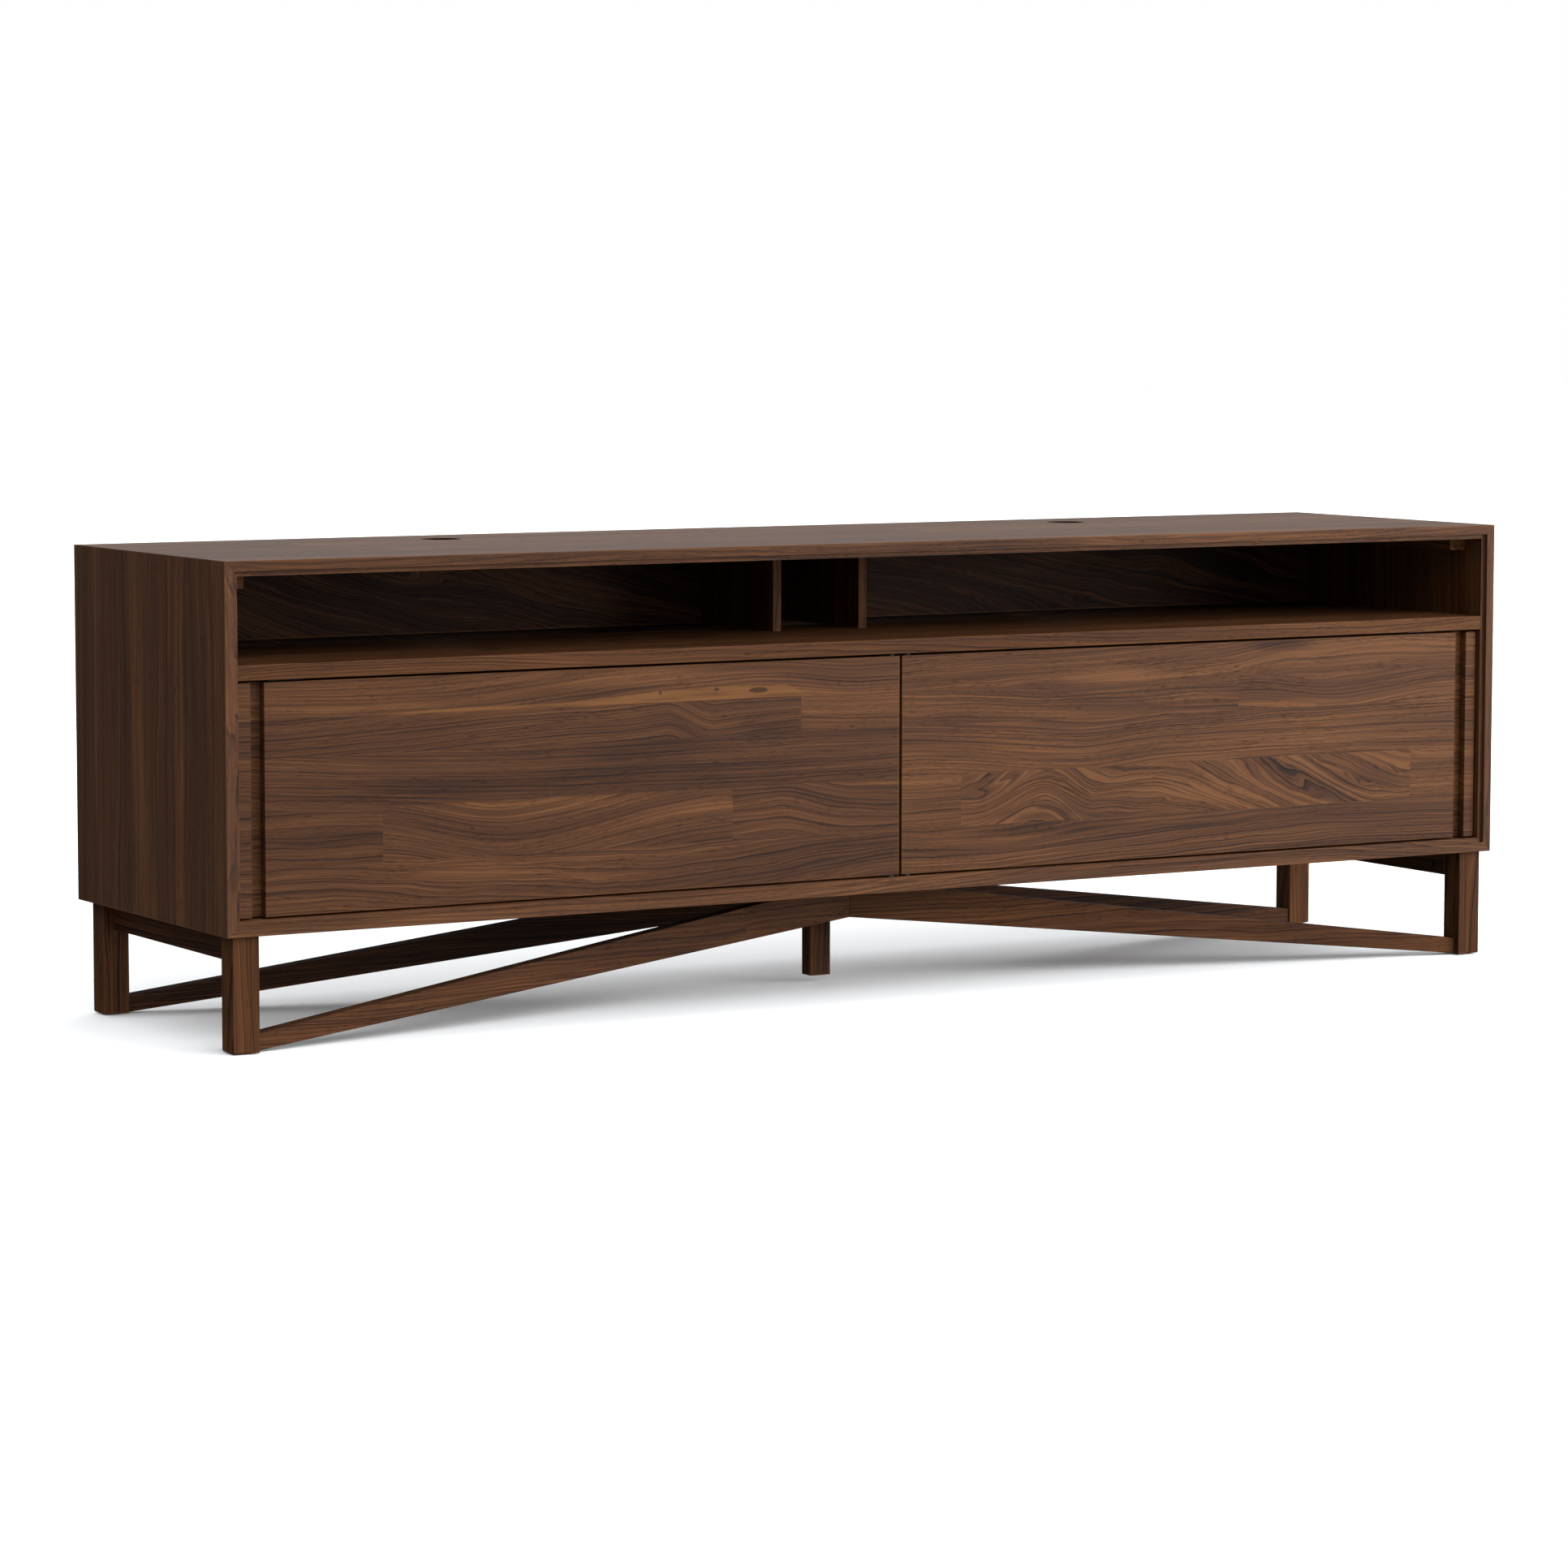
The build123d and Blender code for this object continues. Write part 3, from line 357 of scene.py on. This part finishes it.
# From the bottom row up: its upper edge above the door's lower edge, its staves, and where its
# figure rises or falls. A stave is its right-hand end along X, tone, swirl and lines; a rise is
# where it starts and ends along X and how far the figure goes up.
DOOR_ROWS = (
    (0.0555, ((0.0, -0.07, 0.35, 1.0), (END, -0.01, 0.30, 1.1)),
     ((-0.25, 0.0, 0.012), (0.15, 0.75, 0.018))),
    (0.1205, ((-0.711, -0.10, 0.40, 0.7), (-0.240, 0.08, 0.12, 1.0), (0.0, -0.02, 0.35, 1.1),
              (0.089, 0.10, 0.20, 0.9), (0.789, 0.06, 1.15, 1.0), (END, 0.13, 0.20, 0.6)),
     ((-0.72, -0.54, -0.030), (-0.54, -0.24, 0.036), (-0.18, -0.07, -0.020),
      (0.11, 0.21, 0.030), (0.21, 0.29, -0.034), (0.38, 0.80, -0.135))),
    (0.1835, ((0.0, -0.12, 0.12, 0.8), (END, -0.06, 0.15, 1.0)),
     ((0.02, 0.26, -0.010), (0.26, 0.42, 0.014))),
    (0.2280, ((-0.143, -0.18, 0.10, 1.3), (0.0, 0.06, 0.25, 0.8), (0.511, 0.04, 0.20, 0.8),
              (END, 0.03, 0.40, 1.1)),
     ((-0.88, -0.50, 0.012), (-0.50, -0.34, -0.004), (-0.335, -0.262, -0.030),
      (0.52, 0.64, -0.010), (0.64, 0.80, 0.008))),
    (END, ((0.0, 0.12, 0.15, 0.9), (END, 0.12, 0.30, 0.8)),
     ((-0.65, -0.40, 0.012), (-0.20, -0.05, -0.010), (0.48, 0.60, 0.012))),
)
LOOK_SPAN = 4.0            # looks of -2 to 2 are held in a colour ramp as 0 to 1
DOOR_TONE = 0.12           # the doors are paler than the case
DOOR_SEED, DOOR_SPREAD, DOOR_GLOSS = 3, 0.03, 0.09
PLACE_FADE = (0.25, 1.0)   # how far out from its middle a place fades, where its edge is 1
# Paler and darker places on the doors: X, Z, half their length and height, and the change of tone.
DOOR_PLACES = (
    (-0.45, 0.299, 0.48, 0.020, -0.14), (-0.36, 0.326, 0.15, 0.020, -0.10),
    (-0.50, 0.270, 0.20, 0.014, 0.12), (-0.60, 0.196, 0.13, 0.013, 0.12),
    (-0.19, 0.355, 0.075, 0.026, -0.16), (0.31, 0.393, 0.12, 0.015, 0.22),
    (0.58, 0.423, 0.07, 0.010, -0.34), (0.42, 0.364, 0.11, 0.010, 0.15),
    (0.62, 0.348, 0.12, 0.008, 0.20), (0.61, 0.308, 0.30, 0.034, 0.08),
    (0.22, 0.204, 0.15, 0.012, -0.26), (0.47, 0.238, 0.14, 0.022, 0.12),
    (0.20, 0.224, 0.09, 0.014, -0.20), (0.72, 0.243, 0.09, 0.022, -0.16),
    (-0.30, 0.414, 0.24, 0.014, 0.24),
)
# The streak of sapwood in the left door's top row. It widens twice along X, by a part of its
# height each time, and then ends. Its edge and its clouds are soft.
SAP_FOOT = DOOR_FOOT + DOOR_ROWS[-2][0]
SAP_HEIGHT, SAP_RAGGED, SAP_STRENGTH = 0.0165, 0.008, 0.88
SAP_FIRST, SAP_SECOND = (-0.74, -0.62, 0.0, 0.30), (-0.50, -0.27, 0.0, 0.70)
SAP_END, SAP_EDGE, SAP_CLOUD = (-0.175, -0.12), (-0.0004, 0.0018), (0.42, 0.75)
# The knots in it: X, Z, half length and half height, and how their rim and heart fade outwards.
KNOT_RIM, KNOT_HEART = (0.72, 1.05, 0.85, 0.0), (0.30, 0.62, 0.55, 0.0)
SAP_KNOTS = ((-0.2035, 0.3955, 0.0150, 0.0036), (-0.262, 0.3985, 0.0035, 0.0022),
             (-0.340, 0.3975, 0.0022, 0.0026))


def door_staves(t, x, z):
    """The stave's number at a place on the doors, its rise, and its tone, swirl and lines."""
    row = 0.0
    for top, *_ in DOOR_ROWS[:-1]:
        row = t.math("ADD", row, t.math("GREATER_THAN", z, DOOR_FOOT + top))
    number, rise, count, looks = 0.0, 0.0, 0, []
    for level, (_, staves, rises) in enumerate(DOOR_ROWS):
        here = t.math("COMPARE", row, float(level), 0.1)
        place, lift = float(count), 0.0
        for end, *_ in staves[:-1]:
            place = t.math("ADD", place, t.math("GREATER_THAN", x, end))
        for start, end, push in rises:
            lift = t.math("ADD", lift, t.span(x, start, end, 0.0, push))
        number = t.math("MULTIPLY_ADD", here, place, number)
        rise = t.math("MULTIPLY_ADD", here, lift, rise)
        looks += [look for _, *look in staves]
        count += len(staves)
    key = t.math("DIVIDE", t.math("ADD", number, 0.5), float(count))
    stops = [(i / count, tuple(0.5 + v / LOOK_SPAN for v in look)) for i, look in enumerate(looks)]
    tone, swirl, lines = (t.swing(v, LOOK_SPAN) for v in t.split(t.ramp(key, stops, "CONSTANT")))
    return number, rise, tone, swirl, lines


def sapwood_streak(t, x, z, colour):
    """A pale streak that lies on the glue line, long on the left and short on the right."""
    rise = t.math("ADD", t.span(x, *SAP_FIRST), t.span(x, *SAP_SECOND))
    rise = t.math("MULTIPLY", rise, t.span(x, *SAP_END, 1.0, 0.0))
    ragged = t.noise(t.join(t.math("MULTIPLY", x, 28.0), 3.0, 0.0), detail=3.0, rough=0.6)
    least = SAP_HEIGHT - SAP_RAGGED / 2
    top = t.math("MULTIPLY", rise, t.math("MULTIPLY_ADD", ragged, SAP_RAGGED, least))
    above = t.math("SUBTRACT", z, SAP_FOOT)
    pale = t.math("MULTIPLY", t.span(t.math("SUBTRACT", top, above), *SAP_EDGE),
                  t.math("GREATER_THAN", above, 0.0))
    cloud = t.noise(t.join(t.math("MULTIPLY", x, 9.0), 1.0, t.math("MULTIPLY", z, 160.0)),
                    detail=3.0)
    sap = t.mix(t.span(cloud, *SAP_CLOUD), SAPWOOD, WALNUT_WARM)
    colour = t.mix(t.math("MULTIPLY", pale, SAP_STRENGTH), colour, sap)
    for knot in SAP_KNOTS:
        away = distance_from(t, x, z, knot)
        colour = t.mix(t.span(away, *KNOT_RIM), colour, WALNUT_DEEP)
        colour = t.mix(t.span(away, *KNOT_HEART), colour, WALNUT_MID)
    return colour


def door_wood(node, sapwood=False):
    """A door's board, glued up from staves of the door's own pattern."""
    material, t = new_material("walnut_" + node)
    x, z, depth = grain_space(t, X, Z)
    number, rise, tone, swirl, lines = door_staves(t, x, z)
    for *place, change in DOOR_PLACES:
        near = t.span(distance_from(t, x, z, place), *PLACE_FADE, change, 0.0)
        tone = t.math("ADD", tone, near)
    stave = t.join(number, float(DOOR_SEED), 2.0)
    across = t.math("SUBTRACT", z, rise)
    colour, rough, height = walnut_surface(t, x, across, depth, stave, swirl, lines,
                                           t.math("ADD", tone, DOOR_TONE), DOOR_SPREAD)
    if sapwood:
        colour = sapwood_streak(t, x, z, colour)
    colour, rough = rubbed_edges(t, node, colour, rough)
    finish_material(t, {"Base Color": colour, "Roughness": rough,
                        "Specular IOR Level": DOOR_GLOSS}, height)
    dress(node, material)


# ---------------------------------------------------------------- hardware
# Scratches and patches per metre, the patches' shades, and the depth and strength of the bump.
SCRATCHES, DULL_PATCHES, METAL_SHADES = (2500.0, 300.0, 2500.0), 260.0, (0.3, 0.75, 0.72, 1.08)
METAL_BUMP, SCRATCH_ROUGH = (0.00003, 0.3), 0.22
SKIN, SKIN_PATCHES, PLASTIC_SHADES = 2200.0, 120.0, (0.3, 0.7, 0.85, 1.15)
PLASTIC_BUMP, SKIN_ROUGH = (0.00005, 0.4), 0.12


def metal(name, base, rough, nodes):
    """Plated or brushed metal with fine scratches and a few dull patches."""
    material, t = new_material(name)
    place = t.place()
    scratch = t.noise(t.vector("MULTIPLY", place, SCRATCHES))
    shade = t.span(t.noise(place, DULL_PATCHES, 3.0), *METAL_SHADES)
    colour = t.mix(1.0, base, t.join(shade, shade, shade), "MULTIPLY")
    roughness = t.math("ADD", rough, t.swing(scratch, SCRATCH_ROUGH))
    finish_material(t, {"Base Color": colour, "Metallic": 1.0, "Roughness": roughness},
                    scratch, *METAL_BUMP)
    for node in nodes:
        dress(node, material)


def plastic(name, base, rough, nodes):
    """Moulded plastic with a fine grained skin."""
    material, t = new_material(name)
    place = t.place()
    skin = t.noise(place, SKIN)
    shade = t.span(t.noise(place, SKIN_PATCHES), *PLASTIC_SHADES)
    colour = t.mix(1.0, base, t.join(shade, shade, shade), "MULTIPLY")
    roughness = t.math("ADD", rough, t.math("MULTIPLY", skin, SKIN_ROUGH))
    finish_material(t, {"Base Color": colour, "Roughness": roughness}, skin, *PLASTIC_BUMP)
    for node in nodes:
        dress(node, material)


def nodes_like(*words):
    """The CAD nodes whose names hold any of the words."""
    return [n for n in sorted(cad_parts) if any(word in n for word in words)]


metal("dark_bronze", (0.060, 0.040, 0.026), 0.42,
      nodes_like("hinge_leaf", "case_leaf", "hinge_screws"))
metal("black_oxide_steel", (0.055, 0.053, 0.052), 0.40,
      nodes_like("strike", "base_bolts", "barrel_nuts", "catch_screws", "shelf_pins",
                 "back_panel_screws"))
metal("magnet_plate", (0.30, 0.30, 0.31), 0.32, ["catch_magnets"])
plastic("dark_catch_plastic", (0.030, 0.020, 0.015), 0.45, nodes_like("catch_body"))
plastic("glide_nylon", (0.035, 0.028, 0.024), 0.6, nodes_like("glide"))
plastic("black_washer_nylon", (0.003, 0.003, 0.003), 0.7, nodes_like("washers"))

# ---------------------------------------------------------------- wood of each node
door_wood("left_door_panel", sapwood=True)
door_wood("right_door_panel")

TOP_TILT = 0.5             # the top's grain planes lean, so its thin front edge shows fine lines
BACK_SLOPE = 0.24          # the inner back's figure falls towards the right
# The top's paler tone, 0.13, is partly the board's own colour and partly painted light falling
# from above.
walnut("top_panel", X, Y + TOP_TILT * Z, 11, swirl=0.15, lines=0.8, tone=0.13, gloss=0.09,
       holes=CABLE_HOLES)
walnut("bottom_panel", X, Z, 12, width=WHOLE, swirl=0.2, tone=0.22, spread=0.02)
walnut("left_side_panel", Z, Y, 13, width=0.055, swirl=0.22, tone=0.17, spread=0.03, gloss=0.12)
walnut("right_side_panel", Z, Y, 14, width=0.055, swirl=0.22, tone=0.04, spread=0.03)
walnut("fixed_shelf", X, Z, 15, width=WHOLE, swirl=0.2, tone=0.18, spread=0.02, gloss=0.06)
# Its dark tone, -0.40, is painted shade: it stands for the shade at the back of the open bay.
walnut("inner_back_panel", X - BACK_SLOPE * Z, Z + BACK_SLOPE * X, 16, width=WHOLE, swirl=0.7,
       lines=0.6, tone=-0.40, gloss=0.04)
# Its dark tone, -0.30, is painted shade: it darkens the light that reaches its inner face through
# the cable holes.
walnut("outer_back_panel", X, Z, 17, width=0.30, length=2.4, swirl=0.8, lines=0.8, tone=-0.30,
       gloss=0.05)
walnut("centre_partition", Z, Y, 18, length=0.9, tone=-0.15, gloss=0.04)
walnut("centre_block", Z, X, 19, width=WHOLE)
walnut("centre_leg", Z, X, 20, width=WHOLE, tone=0.02, gloss=0.04)
for word, along, across, seed, looks in (
        ("bay_divider", Z, Y, 30, {"width": WHOLE, "swirl": 0.2, "tone": 0.04, "gloss": 0.04}),
        # The side rails' dark tone, -0.14, is painted shade: it stands for the shade under the
        # case.
        ("side_rail", Y, Z, 42, {"width": WHOLE, "swirl": 0.15, "tone": -0.14, "gloss": 0.04}),
        ("top_cleat", Y, Z, 44, {"width": WHOLE, "swirl": 0.15, "tone": 0.20, "gloss": 0.04}),
        ("adjustable_shelf", X, Y, 50, {"swirl": 0.3}),
        ("_post", Z, X, 60, {"width": WHOLE, "swirl": 0.15, "tone": 0.03, "spread": 0.04,
                             "gloss": 0.04})):
    for number, node in enumerate(nodes_like(word)):
        walnut(node, along, across, seed + number, **looks)
BRACE_FALL = 0.83          # the part of its highest place that a brace's middle line falls
for number, node in enumerate(nodes_like("brace")):
    low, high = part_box(node)
    outward = 1 if low.x + high.x > 0 else -1
    front = node.startswith("front")
    run = Vector((outward * (high.x - low.x), (high.y - low.y) * (-1 if front else 1),
                  low.z - high.z * BRACE_FALL))
    # The rear braces' tone, -0.22 against the front braces' 0.06, is painted shade: it stands for
    # the shade under the case.
    walnut(node, run, Z, 80 + number, width=WHOLE, swirl=0.25, tone=0.06 if front else -0.22,
           spread=0.04, gloss=0.05, glued=front, dull_top=True)

# ---------------------------------------------------------------- floor, light and camera
FLOOR_SIZE = 60.0
FLOOR_COLOUR = (0.948, 0.967, 0.984, 1.0)
# The studio's walls: the sines of the heights between which each band comes in and goes out, how
# near to its direction it fades in, and its lit sides as (X, Y, brightness).
FRONT, BACK, LEFT, RIGHT = (0.0, -1.0), (0.0, 1.0), (-1.0, 0.0), (1.0, 0.0)
BACK_RIGHT, FRONT_LEFT, FRONT_RIGHT = (0.707, 0.707), (-0.707, -0.707), (0.707, -0.707)
KEY = (0.82, -0.57)
STUDIO = (
    ((-1.00, -0.99, -0.10, 0.0), (-0.3, 0.3), ((FRONT, 0.6), (BACK, 0.15))),
    ((-0.10, 0.0, 0.25, 0.40), (0.80, 0.97),
     ((FRONT, 1.5), (KEY, 3.5), (RIGHT, 0.6), (BACK_RIGHT, 0.35), (BACK, 0.15),
      (LEFT, 0.50), (FRONT_LEFT, 0.2))),
    ((0.25, 0.40, 0.65, 0.80), (0.5, 0.9),
     ((FRONT, 3.9), (FRONT_RIGHT, 1.5), (RIGHT, 2.0), (BACK, 2.2), (LEFT, 0.58))),
)
STUDIO_TOP = 1.15          # straight above
CEILING = (0.65, 0.80)     # and the sines of the heights where that comes in
SHORTEST = 0.0001          # keeps the level part of a direction above 0


def make_floor():
    """A plain pale floor, wide enough to reach the horizon."""
    bpy.ops.mesh.primitive_plane_add(size=FLOOR_SIZE)
    floor = bpy.context.object
    floor.name = "floor"
    material, t = new_material("floor")
    finish_material(t, {"Base Color": FLOOR_COLOUR, "Roughness": 0.9, "Specular IOR Level": 0.1})
    floor.data.materials.append(material)
    floor.visible_diffuse = False      # its bounce comes from the studio's own lower half
    floor.visible_glossy = False


def make_world():
    """A white studio, brightest part of the way up in front, on the right and behind."""
    world = bpy.data.worlds.new("studio")
    SCENE.world = world
    world.use_nodes = True
    world.node_tree.nodes.clear()
    t = Tree(world.node_tree)
    way = t.node("ShaderNodeTexCoord").outputs["Generated"]
    up = t.split(way)["Z"]
    flat = t.math("SUBTRACT", 1.0, t.math("MULTIPLY", up, up))
    flat = t.math("SQRT", t.math("MAXIMUM", flat, SHORTEST))
    level = t.span(up, *CEILING, 0.0, STUDIO_TOP)
    for (start, full, fade, end), near, sides in STUDIO:
        band = t.math("MULTIPLY", t.span(up, start, full), t.span(up, fade, end, 1.0, 0.0))
        wall = 0.0
        for (x, y), bright in sides:
            facing = t.math("DIVIDE", t.vector("DOT_PRODUCT", way, (x, y, 0.0)), flat)
            wall = t.math("ADD", wall, t.span(facing, *near, 0.0, bright))
        level = t.math("MULTIPLY_ADD", band, wall, level)
    seen = t.node("ShaderNodeLightPath").outputs["Is Camera Ray"]
    level = t.math("ADD", t.math("MULTIPLY", level, t.math("SUBTRACT", 1.0, seen)), seen)
    sky = t.node("ShaderNodeBackground", {"Color": (1.0, 1.0, 1.0, 1.0), "Strength": level})
    t.node("ShaderNodeOutputWorld", {"Surface": sky.outputs[0]})


def softbox(name, place, aim, size, power):
    """A rectangular lamp of a width and height in metres and a power in watts."""
    data = bpy.data.lights.new(name, "AREA")
    data.shape = "RECTANGLE"
    data.size, data.size_y = size
    data.energy = power
    lamp = bpy.data.objects.new(name, data)
    SCENE.collection.objects.link(lamp)
    lamp.location = place
    lamp.rotation_euler = (Vector(aim) - Vector(place)).to_track_quat("-Z", "Y").to_euler()


def make_camera():
    """A long lens, from the front left and a little above the top."""
    data = bpy.data.cameras.new("camera")
    data.sensor_width = SENSOR
    data.lens = CAMERA_LENS
    data.clip_end = CAMERA_REACH
    camera = bpy.data.objects.new("camera", data)
    SCENE.collection.objects.link(camera)
    camera.location = CAMERA_PLACE
    turns = (90 - CAMERA_DIP, -CAMERA_ROLL, -CAMERA_TURN)
    camera.rotation_euler = [math.radians(turn) for turn in turns]
    SCENE.camera = camera


make_floor()
make_world()
softbox("front right", place=(2.8, -2.8, 0.70), aim=(0.3, -0.2, 0.3), size=(2.4, 1.2), power=78.0)
softbox("behind", place=(1.8, 3.4, 0.30), aim=(0.0, 0.2, 0.30), size=(2.4, 0.5), power=40.0)
make_camera()
SCENE.view_settings.view_transform = "Standard"
